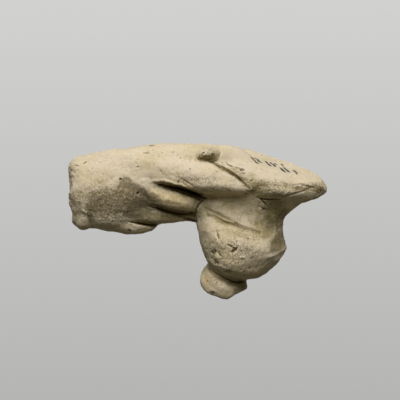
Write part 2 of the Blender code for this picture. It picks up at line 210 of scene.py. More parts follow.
# Raised lines and swollen edges, given in the same way.
RAISED_LINES = {
    "upper side of the middle finger": (
        (157, 187.5, 3.0, 0.2),
        (165, 190.2, 4.4, 0.5),
        (175, 192.6, 5.0, 0.8),
        (186, 195.6, 5.0, 0.9),
        (195, 199.5, 4.0, 0.6),
        (200, 201.5, 2.4, 0.2),
    ),
    "lower edge of the index finger": (
        (153, 180.9, 3.0, 0.2),
        (158, 181.8, 4.4, 1.0),
        (164, 182.8, 4.8, 1.4),
        (173, 184.6, 4.8, 1.3),
        (184, 187.2, 4.2, 0.9),
        (193, 190.0, 3.0, 0.3),
    ),
    "lower edge of the middle finger": (
        (150, 202.5, 2.0, 0.2),
        (160, 204.6, 3.8, 0.5),
        (170, 206.8, 4.2, 0.6),
        (180, 208.2, 4.0, 0.5),
        (190, 208.0, 3.0, 0.2),
    ),
    "lip between the two lines": ((219, 216.6, 1.8, 0.15), (226, 220.4, 2.2, 0.35), (233, 222.4, 1.6, 0.25)),
    "burr beside the shoulder": (
        (240.2, 213.5, 0.9, 0.15),
        (238.7, 218.0, 0.9, 0.22),
        (237.2, 223.0, 0.9, 0.2),
    ),
    "lip above the index finger's groove": (
        (220, 163.5, 1.6, 0.05),
        (232, 171.5, 1.8, 0.15),
        (243, 181.0, 1.6, 0.1),
    ),
    "edge of the scratch over the plate": (
        (226, 164.5, 0.9, 0.1),
        (229, 167.2, 1.0, 0.2),
        (233, 168.0, 0.9, 0.1),
    ),
    "bump on the body": ((240, 256.5, 1.8, 0.35), (243.5, 256.8, 1.6, 0.25)),
    "edge of the scratch on the index finger": (
        (183.5, 182.4, 0.9, 0.1),
        (187, 184.6, 1.1, 0.25),
        (192, 187.6, 0.9, 0.1),
    ),
    "rim of the wrist's lump": ((82, 209.5, 1.2, 0.1), (86.5, 212.5, 1.5, 0.3), (91, 214.4, 1.1, 0.1)),
    "lit edge of the stub": ((198.5, 155.5, 1.6, 0.2), (203, 152.4, 1.6, 0.3), (211, 150.4, 1.6, 0.25)),
    "crumb in the stub": ((206.5, 158.6, 1.5, 0.5), (209.5, 158.8, 1.5, 0.6)),
}

# Swellings, and dents with a height below 0: (x, y, radius along, radius across, turn in degrees, height).
MOUNDS = {
    "stub": (208.5, 154.5, 12.5, 8.5, -8, 1.6),
    "broken face of the stub": (205.5, 159.2, 9.0, 3.4, -4, -0.6),
    "lower side of the index finger": (170.0, 182.0, 20.0, 6.5, 14, 0.6),
    "underside of the fingertip": (213.0, 188.0, 30.0, 9.0, 3, 0.7),
    "start of the middle finger": (151.0, 187.5, 16.0, 10.0, 15, 1.1),
    "middle finger": (177.0, 200.8, 31.0, 13.0, 13, 2.2),
    "rim": (278.0, 193.0, 28.0, 8.0, 3, 0.8),
    "rim's tip": (314.0, 189.0, 9.0, 4.0, 0, -0.3),
    "before the knuckle": (151.0, 178.0, 16.0, 9.0, 12, 0.35),
    "heel of the hand": (112.0, 228.0, 46.0, 17.0, 5, 1.4),
    "wrist's lump": (82.0, 225.0, 9.5, 11.0, 0, 0.8),
    "dip behind the wrist's lump": (91.5, 221.0, 4.5, 10.0, -12, -0.8),
    "right side of the neck": (276.0, 213.0, 15.0, 22.0, 0, -1.3),
    "corner of the shoulder": (267.0, 225.0, 15.0, 11.0, 0, -0.7),
    "right side of the shoulder": (275.0, 234.0, 14.0, 15.0, 0, -1.3),
    "hollow on the neck": (240.0, 209.0, 22.0, 9.0, 8, -0.25),
    "above the foot": (219.0, 270.0, 15.0, 7.0, 33, 0.7),
    "lower belly": (227.0, 264.0, 27.0, 16.0, -8, 1.1),
    "front of the foot": (225.0, 291.0, 18.0, 14.0, 0, 1.0),
    "top of the foot": (219.0, 281.5, 17.0, 8.0, 30, 0.9),
    "ring fingertip": (184.0, 215.5, 13.0, 4.0, 5, 0.5),
    "crater's middle": (216.5, 256.5, 5.0, 4.0, 20, 0.3),
}

# Where the skin is softened: (x, y, radius along, radius across, turn in degrees).
SOFTENED = (
    (236.0, 158.0, 30.0, 10.0, 12),
    (266.0, 184.0, 24.0, 9.0, 8),
    (252.0, 186.0, 10.0, 9.0, 0),
    (226.0, 197.0, 30.0, 4.5, 0),
    (152.0, 174.0, 14.0, 10.0, 20),
    (142.0, 205.0, 16.0, 6.0, 5),
    (246.0, 154.0, 18.0, 9.0, 20),
    (300.0, 196.0, 22.0, 5.0, -10),
    (226.0, 216.5, 30.0, 8.0, 25),
    (220.0, 274.5, 14.0, 5.0, 33),
    (93.0, 218.0, 7.0, 10.0, 0),
)

# How often the skin is smoothed there, and how fast that sets in from an ellipse's edge.
SOFTENING_STEPS = 70
SOFTENING_RISE = 2.5

# Small round losses: (x, y, radius in pixels, depth).
PITS = (
    (201.5, 155.5, 1.4, 0.3),
    (204.0, 153.2, 1.3, 0.3),
    (208.5, 153.0, 1.3, 0.25),
    (212.5, 154.8, 1.6, 0.35),
    (201.0, 159.0, 1.5, 0.3),
    (211.3, 252.0, 1.5, 0.35),
    (214.5, 250.0, 1.7, 0.4),
    (213.2, 253.6, 1.2, 0.25),
    (218.0, 252.4, 1.6, 0.35),
    (221.2, 255.4, 1.3, 0.3),
    (214.3, 260.2, 1.7, 0.4),
    (217.6, 262.4, 1.5, 0.35),
    (211.5, 257.6, 1.2, 0.25),
    (121.5, 179.5, 1.6, 0.35),
    (138.8, 193.4, 1.6, 0.35),
    (124.5, 181.0, 1.2, 0.2),
    (180.5, 158.4, 1.3, 0.25),
    (190.3, 169.2, 1.0, 0.2),
    (241.6, 170.4, 1.7, 0.4),
    (239.0, 168.0, 1.2, 0.2),
    (244.0, 173.2, 1.2, 0.2),
    (263.0, 209.0, 1.6, 0.35),
    (259.0, 206.5, 1.2, 0.25),
    (233.8, 243.8, 1.1, 0.3),
    (236.4, 244.8, 1.0, 0.3),
    (247.8, 237.9, 1.2, 0.25),
    (274.8, 239.0, 1.3, 0.25),
    (267.4, 247.6, 1.2, 0.25),
    (267.0, 259.5, 1.4, 0.3),
    (249.0, 268.0, 1.3, 0.25),
    (212.5, 242.0, 1.2, 0.2),
    (130.0, 230.5, 1.6, 0.4),
    (207.0, 280.5, 1.3, 0.25),
    (217.0, 282.0, 1.4, 0.2),
    (213.0, 292.0, 1.6, 0.35),
    (225.0, 287.0, 1.2, 0.2),
    (320.5, 191.0, 1.5, 0.3),
    (302.0, 186.0, 1.4, 0.25),
)

# Bits broken off the edges, and places that stand out from them with a depth below 0: (x, y, radius, depth).
EDGES = (
    (74.0, 160.5, 1.0, 0.20),
    (71.0, 187.5, 0.8, 0.25),
    (70.0, 178.0, 4.5, 0.75),
    (71.0, 200.0, 5.0, 1.15),
    (70.5, 209.0, 3.5, 0.60),
    (71.5, 214.0, 2.5, 0.60),
    (94.0, 228.0, 1.8, 0.50),
    (83.0, 229.0, 2.8, -0.45),
    (145.0, 147.0, 6.0, -0.35),
    (244.0, 149.5, 4.5, -0.45),
    (256.0, 153.5, 4.0, -0.30),
    (323.0, 193.0, 1.2, 0.30),
    (204.0, 270.5, 1.2, 0.20),
    (287.0, 247.0, 0.9, -0.20),
)

# Unevenness of the whole skin: (size of the lumps, height).
LUMPS = ((7.0, 0.26), (2.6, 0.12), (1.0, 0.06))

# The broken end of the wrist: the x up to which it is rough all over, how far that fades, and its lumps.
BREAK_START = -34.6
BREAK_FADE = 1.2
BREAK_LUMPS = ((3.2, 0.4), (1.2, 0.12))

# Pits strewn over the clay: how many, their least and largest radius, their least and largest depth as a
# share of it, and the power that makes most of them small.
STREWN_PITS = 700
STREWN_RADIUS = (0.2, 0.5)
STREWN_DEPTH = (0.2, 0.5)
STREWN_SMALL = 3
SEED = 11

# The powers with which a cut, a raised line, a mound and a pit fade to their edges.
CUT_FADE, LINE_FADE, MOUND_FADE, PIT_FADE = 0.9, 1.5, 1.5, 1.3

# Skin that faces down more than this is the far side, and the gap that is added to pass it over.
FAR_SIDE = -0.2
FAR_SIDE_GAP = 100

# How far a point goes to its neighbours' mean in one step of smoothing.
SPREAD_SHARE = 0.6

# Rays start this far above the skin, so that they don't meet it at once.
RAY_START = 0.05

# How sheltered the skin is: the rays from each point, how far they look, and the smoothing after it.
SHELTER_RAYS = 9
SHELTER_REACH = 7.0
SHELTER_STEPS = 3

# Hollows are measured against smoothed skin: the steps of smoothing, and the depth that counts as full.
FINE_HOLLOW = (3, 0.05)
BROAD_HOLLOW = (40, 0.5)

# Stains, dirt and painted shade: ellipses (x, y, radius along, radius across, turn in degrees, strength).
TINTS = {
    "stain": (
        (132.0, 196.0, 20.0, 16.0, 20, 1.0),
        (127.0, 185.0, 9.0, 9.0, 0, 0.9),
        (107.0, 204.0, 25.0, 18.0, -8, 0.7),
        (96.0, 201.0, 10.0, 14.0, 0, 0.55),
        (149.0, 203.0, 18.0, 8.0, 12, 0.9),
        (139.0, 214.0, 20.0, 7.0, 4, 0.7),
    ),
    "marks": (
        (241.5, 170.0, 3.4, 2.0, 0, 1.0),
        (237.0, 168.0, 3.5, 1.2, 20, 0.6),
        (243.0, 173.5, 4.0, 1.6, 0, 0.5),
        (229.5, 165.6, 5.0, 1.3, 25, 0.7),
        (121.3, 179.4, 2.2, 1.6, 0, 1.0),
        (138.0, 193.0, 2.6, 2.2, 30, 0.9),
        (233.6, 249.4, 4.6, 3.0, -35, 0.6),
        (229.0, 245.2, 4.0, 1.8, 20, 0.5),
        (217.8, 235.0, 2.2, 4.4, -15, 0.5),
        (213.5, 251.0, 4.5, 2.2, 10, 0.8),
        (219.8, 253.8, 3.0, 1.8, 40, 0.7),
        (216.0, 261.4, 4.0, 1.8, 20, 0.8),
        (248.0, 238.0, 1.8, 1.2, 0, 0.7),
        (263.0, 208.0, 4.6, 2.0, 20, 0.7),
        (319.0, 190.0, 6.0, 3.4, -30, 0.8),
        (296.0, 187.6, 8.0, 1.8, -10, 0.5),
        (130.0, 230.5, 3.4, 2.0, 0, 0.7),
        (152.0, 145.8, 5.0, 1.2, -8, 0.6),
        (148.0, 153.4, 4.0, 1.1, -10, 0.5),
        (86.0, 162.8, 3.6, 1.1, -30, 0.6),
        (79.0, 166.0, 3.6, 1.1, 10, 0.5),
        (138.5, 167.4, 2.6, 1.0, 0, 0.6),
        (190.0, 169.4, 1.5, 1.2, 0, 0.7),
        (204.5, 157.6, 9.0, 4.4, -6, 0.4),
        (213.0, 155.4, 4.0, 2.8, 0, 0.6),
        (203.5, 153.0, 2.4, 1.4, 0, 0.6),
        (210.0, 150.5, 2.4, 1.2, 0, 0.5),
        (178.0, 182.0, 10.0, 2.5, 12, 0.4),
        (207.0, 281.0, 2.6, 2.2, 0, 0.4),
        (212.0, 292.0, 5.0, 2.4, 15, 0.7),
        (217.0, 281.5, 2.4, 1.4, 0, 0.4),
        (272.0, 184.5, 6.0, 2.0, 0, 0.3),
        (228.0, 270.5, 8.0, 2.0, 0, 0.5),
    ),
    # Partly dirt and partly painted shade: under the fingers, the rim and the stub, on the neck, the body's
    # right side and the foot.
    "grime_and_shade": (
        (76.0, 200.0, 8.0, 20.0, 0, 0.35),
        (79.0, 213.0, 7.0, 5.0, 0, 0.4),
        (82.0, 225.0, 9.0, 6.0, 0, 0.2),
        (91.0, 221.0, 4.0, 8.0, -12, 0.2),
        (158.0, 218.0, 24.0, 7.0, 3, 0.7),
        (204.0, 211.0, 12.0, 13.0, 0, 0.6),
        (158.0, 178.0, 14.0, 5.0, 18, 0.2),
        (176.0, 203.0, 26.0, 8.0, 13, 0.4),
        (246.0, 183.0, 9.0, 7.0, 35, 0.7),
        (251.0, 178.0, 9.0, 8.0, 30, 0.5),
        (96.0, 158.0, 30.0, 6.0, -8, 0.2),
        (208.0, 246.0, 12.0, 20.0, -10, 0.25),
        (236.0, 205.0, 34.0, 13.0, 4, 0.35),
        (275.0, 213.0, 17.0, 26.0, 0, 0.9),
        (257.0, 216.0, 14.0, 12.0, 0, 0.45),
        (264.0, 231.0, 19.0, 10.0, 0, 0.85),
        (222.0, 219.0, 20.0, 8.0, 25, 0.75),
        (236.0, 231.0, 30.0, 9.0, 10, 0.45),
        (236.0, 173.0, 17.0, 5.0, 35, 0.4),
        (221.0, 168.0, 13.0, 4.0, 30, 0.6),
        (255.0, 187.0, 16.0, 9.0, 8, 0.8),
        (266.0, 195.0, 14.0, 5.0, 4, 0.4),
        (262.0, 224.0, 16.0, 9.0, 10, 0.7),
        (303.0, 188.5, 15.0, 3.5, -4, 0.7),
        (318.0, 190.0, 8.0, 5.0, -20, 0.8),
        (232.0, 258.0, 34.0, 16.0, -5, 0.15),
        (206.0, 240.0, 8.0, 32.0, -4, 0.25),
        (277.0, 241.0, 13.0, 17.0, 0, 0.8),
        (206.0, 158.0, 11.0, 4.5, -6, 0.8),
        (200.0, 192.0, 40.0, 7.0, 5, 0.2),
        (241.0, 287.0, 11.0, 9.0, 0, 0.6),
        (226.0, 295.0, 22.0, 4.0, 0, 0.2),
    ),
    "speckled": (
        (110.0, 203.0, 46.0, 26.0, 0, 0.7),
        (195.0, 181.0, 50.0, 9.0, 8, 0.4),
        (270.0, 187.0, 34.0, 10.0, 6, 1.0),
        (236.0, 174.0, 14.0, 8.0, 35, 0.6),
        (312.0, 188.0, 14.0, 7.0, 5, 0.9),
        (226.0, 252.0, 38.0, 19.0, -8, 0.8),
        (262.0, 207.0, 10.0, 8.0, 20, 0.8),
        (208.0, 154.0, 13.0, 7.0, -10, 0.7),
        (216.0, 284.0, 18.0, 12.0, 10, 0.25),
        (120.0, 166.0, 48.0, 9.0, -4, 0.15),
        (250.0, 238.0, 22.0, 10.0, 0, 0.4),
    ),
    "tan": (
        (176.0, 202.0, 24.0, 9.0, 12, 1.0),
        (152.0, 196.0, 14.0, 9.0, 10, 0.7),
        (207.0, 279.0, 5.0, 5.0, 0, 0.8),
    ),
    "ink_wash": ((268.0, 163.0, 18.0, 6.0, 12, 0.8), (288.0, 171.0, 10.0, 4.0, 12, 0.6)),
}

# Two rows of short ink strokes: (first x, first y, last x, last y, strokes, height in pixels).
INK_ROWS = ((251.0, 159.5, 284.0, 164.0, 6, 8.0), (279.0, 169.5, 297.0, 172.0, 3, 5.5))

# A stroke's width, and how far it leans for each millimetre of its height.
INK_WIDTH = 0.44
INK_LEAN = 1.4

# How the rows waver along their way and across it: (width of the waves, height of the waves).
INK_WAVER_ALONG = (1.3, 0.9)
INK_WAVER_ACROSS = (1.1, 0.4)

# How far strokes stand off their places: along a row as a share of their spacing, across it of their height.
INK_SHIFT_ALONG = 0.4
INK_SHIFT_ACROSS = 0.35

# Between which distances from its middle a stroke fades: shares of its width, and shares of its height.
INK_SIDES = (0.3, 0.7)
INK_TIPS = (0.3, 0.45)

# How far inside and outside its ends a row fades, and the heights between which the ink sets in.
INK_INSIDE, INK_OUTSIDE = 0.1, 0.2
INK_HEIGHTS = (8.0, 8.5)


def metres(x, y, z=0.0):
    """The place of a pixel of the photograph, z millimetres above the floor."""
    return Vector(((x - ORIGIN_X) * PIXEL, (ORIGIN_Y - y) * PIXEL, z)) * MM


def pick_only(thing):
    bpy.ops.object.select_all(action="DESELECT")
    thing.select_set(True)
    bpy.context.view_layer.objects.active = thing


def add_modifier(thing, kind, **settings):
    """Adds a modifier, sets it and applies it."""
    pick_only(thing)
    made = thing.modifiers.new(kind.lower(), kind)
    for key, value in settings.items():
        setattr(made, key, value)
    bpy.ops.object.modifier_apply(modifier=made.name)


def copy_of_node(node, name):
    """A merged copy of a node's mesh, as an object of its own."""
    made = bpy.data.objects.new(name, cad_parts[node].data.copy())
    bpy.context.scene.collection.objects.link(made)
    made.data.materials.clear()
    pick_only(made)
    bpy.ops.object.mode_set(mode="EDIT")
    bpy.ops.mesh.select_all(action="SELECT")
    bpy.ops.mesh.remove_doubles(threshold=MERGE_GAP * MM)
    bpy.ops.object.mode_set(mode="OBJECT")
    return made


def roughen(thing, size, height, group="", direction="NORMAL"):
    """Raises and lowers the skin by up to a height, in lumps that are two of the texture's scales wide."""
    texture = bpy.data.textures.new(f"lumps of {size} mm", "CLOUDS")
    texture.noise_scale = size * MM / 2
    texture.noise_depth = 2
    settings = {"texture": texture, "strength": height * 2 * MM, "mid_level": 0.5}
    add_modifier(thing, "DISPLACE", vertex_group=group, direction=direction, **settings)


class Skin:
    """The clay's surface while it is worked, in millimetres and in pixels of the photograph."""

    def __init__(self, thing):
        self.mesh = thing.data
        self.read()
        self.seen = self.find_seen()

    def read(self):
        count = len(self.mesh.vertices)
        points, normals = np.zeros(count * 3), np.zeros(count * 3)
        self.mesh.vertices.foreach_get("co", points)
        self.mesh.vertices.foreach_get("normal", normals)
        self.points = points.reshape(-1, 3) / MM
        self.normals = normals.reshape(-1, 3)
        self.x = self.points[:, 0] / PIXEL + ORIGIN_X
        self.y = ORIGIN_Y - self.points[:, 1] / PIXEL

    def write(self):
        self.mesh.vertices.foreach_set("co", (self.points * MM).ravel())
        self.mesh.update()
        self.read()

    def ray_tree(self):
        faces = [tuple(face.vertices) for face in self.mesh.polygons]
        return BVHTree.FromPolygons(self.points.tolist(), faces)

    def find_seen(self):
        """Which points nothing covers, seen from above."""
        tree = self.ray_tree()
        up = Vector((0, 0, 1))
        seen = self.normals[:, 2] > 0
        for i in np.flatnonzero(seen):
            start = Vector(self.points[i]) + Vector(self.normals[i]) * RAY_START
            seen[i] = tree.ray_cast(start, up)[0] is None
        return seen

    def along(self, path, fade):
        """How deep each seen point is worked, for a path of (x, y, half width, depth)."""
        path = np.array(path, float)
        widest = path[:, 2].max()
        near = (self.x > path[:, 0].min() - widest) & (self.x < path[:, 0].max() + widest)
        near &= (self.y > path[:, 1].min() - widest) & (self.y < path[:, 1].max() + widest)
        place = np.flatnonzero(near & self.seen)
        flat = np.stack([self.x[place], self.y[place]], axis=1)
        best = np.zeros(len(place))
        for start, end in zip(path, path[1:]):
            step = (end - start)[:2]
            share = np.clip((flat - start[:2]) @ step / (step @ step), 0, 1)
            there = start + share[:, None] * (end - start)
            aside = np.linalg.norm(flat - there[:, :2], axis=1) / there[:, 2]
            best = np.maximum(best, np.clip(1 - aside, 0, 1) ** fade * there[:, 3])
        depth = np.zeros(len(self.points))
        depth[place] = best
        return depth

    def cut(self, path):
        self.points[:, 2] -= self.along(path, CUT_FADE)

    def raise_line(self, path):
        self.points[:, 2] += self.along(path, LINE_FADE)

    def ellipse(self, x, y, long, across, turn):
        """1 in the middle of an ellipse and 0 at its edge."""
        c, s = math.cos(math.radians(turn)), math.sin(math.radians(turn))
        dx, dy = self.x - x, self.y - y
        share = ((dx * c + dy * s) / long) ** 2 + ((dy * c - dx * s) / across) ** 2
        return np.clip(1 - share, 0, 1) * self.seen

    def mound(self, x, y, long, across, turn, height):
        self.points[:, 2] += self.ellipse(x, y, long, across, turn) ** MOUND_FADE * height

    def nearest(self, x, y):
        """The point of the front that lies closest to a pixel."""
        gap = (self.x - x) ** 2 + (self.y - y) ** 2 + (self.normals[:, 2] < FAR_SIDE) * FAR_SIDE_GAP
        return int(np.argmin(gap))

    def tree(self):
        made = KDTree(len(self.points))
        for i, point in enumerate(self.points):
            made.insert(point, i)
        made.balance()
        return made

    def pit(self, tree, at, radius, depth):
        """Presses a small round hole into the skin at one of its points."""
        inward = -self.normals[at]
        for _, i, gap in tree.find_range(self.points[at], radius):
            self.points[i] += inward * depth * (1 - (gap / radius) ** 2) ** PIT_FADE

    def soften(self):
        """Takes the edge off the skin where the table of softened places says so."""
        share = np.zeros(len(self.points))
        for place in SOFTENED:
            share = np.maximum(share, np.clip(self.ellipse(*place) * SOFTENING_RISE, 0, 1))
        self.points += share[:, None] * (self.spread(self.points, SOFTENING_STEPS) - self.points)

    def spread(self, values, steps):
        """The values after each point has taken on its neighbours' mean a number of times."""
        edges = np.zeros(len(self.mesh.edges) * 2, dtype=np.int64)
        self.mesh.edges.foreach_get("vertices", edges)
        first, second = edges.reshape(-1, 2).T
        ends, others = np.concatenate([first, second]), np.concatenate([second, first])
        size = len(values)
        count = np.maximum(np.bincount(ends, minlength=size), 1)
        for _ in range(steps):
            sums = [np.bincount(ends, weights=column[others], minlength=size) for column in values.T]
            means = np.stack(sums, axis=1) / count[:, None]
            values = values + SPREAD_SHARE * (means - values)
        return values

    def hollowness(self, steps, full):
        """1 where a point lies that deep under the smoothed skin, and below 0 where it stands out of it."""
        depth = ((self.spread(self.points, steps) - self.points) * self.normals).sum(axis=1)
        return np.clip(depth / full, -1, 1)

    def shelter(self, reach):
        """The share of rays from each point that meet the clay again within a reach."""
        tree = self.ray_tree()
        golden = math.pi * (3 - math.sqrt(5))
        rays = []
        for k in range(SHELTER_RAYS):
            height = 1 - (k + 0.5) / SHELTER_RAYS
            ring = math.sqrt(1 - height**2)
            rays.append(Vector((math.cos(k * golden) * ring, math.sin(k * golden) * ring, height)))
        met = np.zeros(len(self.points))
        for i, (point, normal) in enumerate(zip(self.points, self.normals)):
            out = Vector(normal)
            turn = Vector((0, 0, 1)).rotation_difference(out)
            start = Vector(point) + out * RAY_START
            met[i] = sum(tree.ray_cast(start, turn @ ray, reach)[0] is not None for ray in rays)
        return met / SHELTER_RAYS

    def keep(self, name, values):
        """Stores a number for each point, for the material to read."""
        stored = self.mesh.attributes.new(name, "FLOAT", "POINT")
        stored.data.foreach_set("value", values.astype(np.float32))


def add_break_group(thing):
    """Weights for the broken end of the wrist."""
    group = thing.vertex_groups.new(name="break")
    for vertex in thing.data.vertices:
        share = (BREAK_START + BREAK_FADE - vertex.co.x / MM) / BREAK_FADE
        weight = min(share, 1.0) * max(-vertex.normal.x, 0.0)
        if weight > 0:
            group.add([vertex.index], weight, "REPLACE")


def work_by_hand(piece):
    """Chips, softened edges, swellings, grooves and pits in their own places, and then the strewn pits."""
    skin = Skin(piece)
    tree = skin.tree()
    for x, y, radius, depth in EDGES:
        skin.pit(tree, skin.nearest(x, y), radius, depth)
    skin.write()
    skin.soften()
    for mound in MOUNDS.values():
        skin.mound(*mound)
    for path in CUTS.values():
        skin.cut(path)
    for path in RAISED_LINES.values():
        skin.raise_line(path)
    skin.write()
    tree = skin.tree()
    for x, y, radius, depth in PITS:
        skin.pit(tree, skin.nearest(x, y), radius * PIXEL, depth)
    chance = np.random.default_rng(SEED)
    low, high = STREWN_RADIUS
    for at in chance.choice(len(skin.points), STREWN_PITS, replace=False):
        radius = low + (high - low) * chance.random() ** STREWN_SMALL
        skin.pit(tree, at, radius, radius * chance.uniform(*STREWN_DEPTH))
    skin.write()


def store_looks(piece):
    """What the material reads: hollows, worn edges, sheltered places, and the stains, soil and painted shade
    seen from the front.
    """
    skin = Skin(piece)
    skin.keep("fine_hollow", skin.hollowness(*FINE_HOLLOW))
    skin.keep("hollow", skin.hollowness(*BROAD_HOLLOW))
    skin.keep("shelter", skin.spread(skin.shelter(SHELTER_REACH)[:, None], SHELTER_STEPS)[:, 0])
    for name, ellipses in TINTS.items():
        amount = np.zeros(len(skin.points))
        for x, y, long, across, turn, strength in ellipses:
            amount = np.maximum(amount, skin.ellipse(x, y, long, across, turn) * strength)
        skin.keep(name, amount)


def fine_skin():
    """The whole fragment as one fine skin, with the marks of tools, breaks and wear worked into it."""
    piece = copy_of_node("hand_with_jug", "fired_clay_fragment")
    add_modifier(piece, "REMESH", mode="VOXEL", voxel_size=SKIN_GRAIN * MM)
    add_modifier(piece, "SMOOTH", iterations=SKIN_SMOOTHINGS)
    for size, height in LUMPS:
        roughen(piece, size, height)
    add_break_group(piece)
    for size, height in BREAK_LUMPS:
        roughen(piece, size, height, "break", "X")
    piece.vertex_groups.clear()
    work_by_hand(piece)
    ratio = SKIN_TRIANGLES / (2 * len(piece.data.polygons))
    add_modifier(piece, "DECIMATE", ratio=ratio)
    piece.data.shade_smooth()
    store_looks(piece)
    return piece


def paint(red, green, blue):
    """A colour as a screen shows it, in steps from 0 to 255."""
    shares = (red / 255, green / 255, blue / 255)
    return tuple(((s + 0.055) / 1.055) ** 2.4 if s > 0.04045 else s / 12.92 for s in shares) + (1.0,)


class Value:
    """A number that varies over the surface. Arithmetic on it adds Math nodes."""

    def __init__(self, nodes, socket):
        self.nodes = nodes
        self.socket = socket

    def __add__(self, other):
        return self.nodes.math("ADD", self, other)

    def __radd__(self, other):
        return self.nodes.math("ADD", other, self)

    def __sub__(self, other):
        return self.nodes.math("SUBTRACT", self, other)

    def __rsub__(self, other):
        return self.nodes.math("SUBTRACT", other, self)

    def __mul__(self, other):
        return self.nodes.math("MULTIPLY", self, other)

    def __rmul__(self, other):
        return self.nodes.math("MULTIPLY", other, self)

    def __truediv__(self, other):
        return self.nodes.math("DIVIDE", self, other)

    def __rtruediv__(self, other):
        return self.nodes.math("DIVIDE", other, self)

    def __abs__(self):
        return self.nodes.math("ABSOLUTE", self)

    def between(self, low, high):
        """0 at low and 1 at high, with a soft start and end."""
        settings = {"interpolation_type": "SMOOTHSTEP"}
        inputs = {"Value": self, "From Min": low, "From Max": high}
        return self.nodes.value("ShaderNodeMapRange", settings, inputs)

    def ragged(self, pattern, amount):
        """The value with its edges broken up by a pattern."""
        return self + (pattern - 0.5) * amount


class Nodes:
    """The nodes of a material or of the studio's surroundings."""

    def __init__(self, tree):
        self.tree = tree

    def node(self, kind, settings=None, inputs=None):
        made = self.tree.nodes.new(kind)
        for key, value in (settings or {}).items():
            setattr(made, key, value)
        for key, value in (inputs or {}).items():
            self.put(made.inputs[key], value)
        return made

    def put(self, socket, value):
        """Links a socket, or sets its own value."""
        if isinstance(value, Value):
            value = value.socket
        if isinstance(value, bpy.types.NodeSocket):
            self.tree.links.new(value, socket)
        else:
            socket.default_value = value

    def value(self, kind, settings=None, inputs=None, output=0):
        return Value(self, self.node(kind, settings, inputs).outputs[output])

    def math(self, operation, *inputs):
        return self.value("ShaderNodeMath", {"operation": operation}, dict(enumerate(inputs)))

    def mix(self, first, second, share, blend="MIX"):
        """A colour between two others, which are inputs 6 and 7 of its node. The mixture is output 2."""
        settings = {"data_type": "RGBA", "blend_type": blend}
        inputs = {"Factor": share, 6: first, 7: second}
        return self.node("ShaderNodeMix", settings, inputs).outputs[2]

    def grey(self, shade, blue=1.0):
        """A shade as a colour, with its blue made weaker or stronger."""
        return self.node("ShaderNodeCombineColor", None, {0: shade, 1: shade, 2: shade * blue}).outputs[0]


class Shader(Nodes):
    """A material, with its place on the object in millimetres."""

    def __init__(self, name):
        self.material = bpy.data.materials.new(name)
        self.material.use_nodes = True
        super().__init__(self.material.node_tree)
        self.surface = self.tree.nodes["Principled BSDF"]
        place = self.node("ShaderNodeTexCoord").outputs["Object"]
        scaled = self.node("ShaderNodeVectorMath", {"operation": "SCALE"}, {0: place, "Scale": 1 / MM})
        self.place = scaled.outputs[0]

    def finish(self, inputs):
        """Sets or links the inputs of the surface, and gives back the material."""
        for name, value in inputs.items():
            self.put(self.surface.inputs[name], value)
        return self.material

    def noise(self, size, detail=2.0, roughness=0.5):
        """Noise whose blots are about that many millimetres wide."""
        inputs = {"Vector": self.place, "Scale": 1 / size, "Detail": detail, "Roughness": roughness}
        return self.value("ShaderNodeTexNoise", None, inputs)

    def spots(self, spacing, core, edge):
        """Spots about that far apart, full up to one radius and gone at another."""
        reach = self.value("ShaderNodeTexVoronoi", None, {"Vector": self.place, "Scale": 1 / spacing})
        return 1.0 - reach.between(core / spacing, edge / spacing)

    def stored(self, name):
        """A number that the mesh keeps for each point."""
        return self.value("ShaderNodeAttribute", {"attribute_name": name}, None, "Fac")

    def axes(self):
        parts = self.node("ShaderNodeSeparateXYZ", None, {0: self.place})
        return [Value(self, parts.outputs[i]) for i in range(3)]


CREAM = paint(211, 197, 172)
BUFF = paint(203, 187, 152)
PALE = paint(224, 213, 189)
STAIN = paint(138, 125, 98)
STAIN_DARK = paint(88, 76, 62)
GRIME_AND_SHADE = paint(140, 128, 82)
TAN = paint(200, 177, 127)
EARTH_AND_SHADE = paint(86, 72, 44)
SPECK = paint(120, 103, 66)
INK_WASH = paint(178, 176, 160)
INK = paint(36, 40, 42)

# The clay's patterns: the width of their blots, their detail and their roughness.
GRAIN = (0.42, 3.0, 0.65)
SPECKLE = (0.5, 3.0, 0.65)
MOTTLE = (0.9, 3.0, 0.6)
UNEVEN = (1.1, 2.0)
BLOTS = (2.2, 3.0, 0.6)
DRIFT = (9.0, 3.0, 0.6)

# Layers of colour: the tint, where the pattern under it starts and is full, and how strongly it covers.
LAYERS = {
    "buff drift": (BUFF, 0.36, 0.68, 1.0),
    "tan": (TAN, 0.2, 0.6, 1.0),
    "pale blots": (PALE, 0.55, 0.75, 0.5),
    # Dirt mixed with painted shade.
    "soil_and_shade": (GRIME_AND_SHADE, 0.05, 0.85, 0.8),
    # Painted shade mixed with dirt where the clay is sheltered.
    "soil and painted shade in sheltered places": (GRIME_AND_SHADE, 0.15, 0.7, 0.65),
    "mottled soil and shade": (GRIME_AND_SHADE, 0.5, 0.66, 0.4),
    "stain": (STAIN, 0.1, 0.4, 0.92),
    "dark grains in the stain": (STAIN_DARK, 0.5, 0.74, 0.5),
    "soiled blots on the stain": (GRIME_AND_SHADE, 0.5, 0.7, 0.4),
    # Earth mixed with painted shade in the hollows.
    "earth and painted shade in hollows": (EARTH_AND_SHADE, 0.25, 1.0, 0.6),
    "earth and painted shade in fine hollows": (EARTH_AND_SHADE, 0.25, 1.0, 0.5),
    "worn edges": (PALE, 0.2, 0.9, 0.4),
    "specks": (SPECK, 0.5, 0.64, 1.0),
    "pale specks": (PALE, 0.54, 0.66, 0.4),
    "marks": (EARTH_AND_SHADE, 0.2, 0.6, 0.8),
    "ink wash": (INK_WASH, 0.3, 0.6, 0.6),
    "ink": (INK, 0.2, 0.45, 0.9),
}

